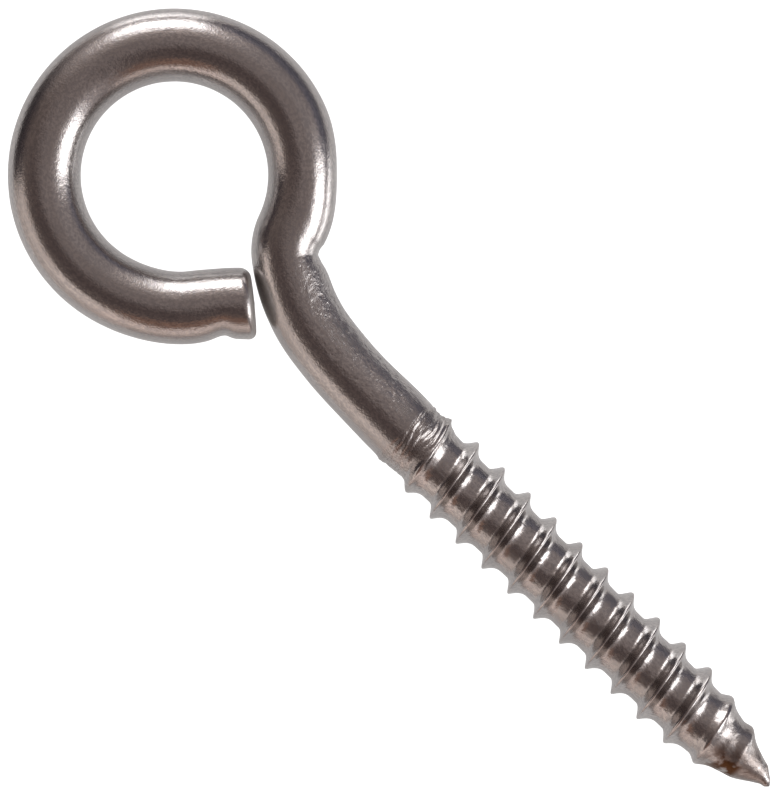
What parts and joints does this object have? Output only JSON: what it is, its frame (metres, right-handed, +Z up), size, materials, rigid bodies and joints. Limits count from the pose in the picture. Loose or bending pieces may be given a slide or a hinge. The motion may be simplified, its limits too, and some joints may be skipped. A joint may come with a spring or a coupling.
{
  "type": "lag-thread screw eye",
  "caption": "One-piece screw eye bent from round stainless wire, with a nearly closed eye and a coarse right-hand wood thread ending in a point.",
  "frame": {"origin": "on the resting plane, under the middle of the bounding box, with the screw eye lying flat on its side", "axes": "+X along the thread's axis towards the point, +Y across the eye, +Z up and square to the eye's plane"},
  "size_m": [0.0886, 0.029, 0.0077],
  "materials": {
    "stainless_steel": "bright drawn stainless wire with tool marks"
  },
  "bodies": {
    "root": {"screw_eye": "stainless_steel"}
  },
  "joints": []
}
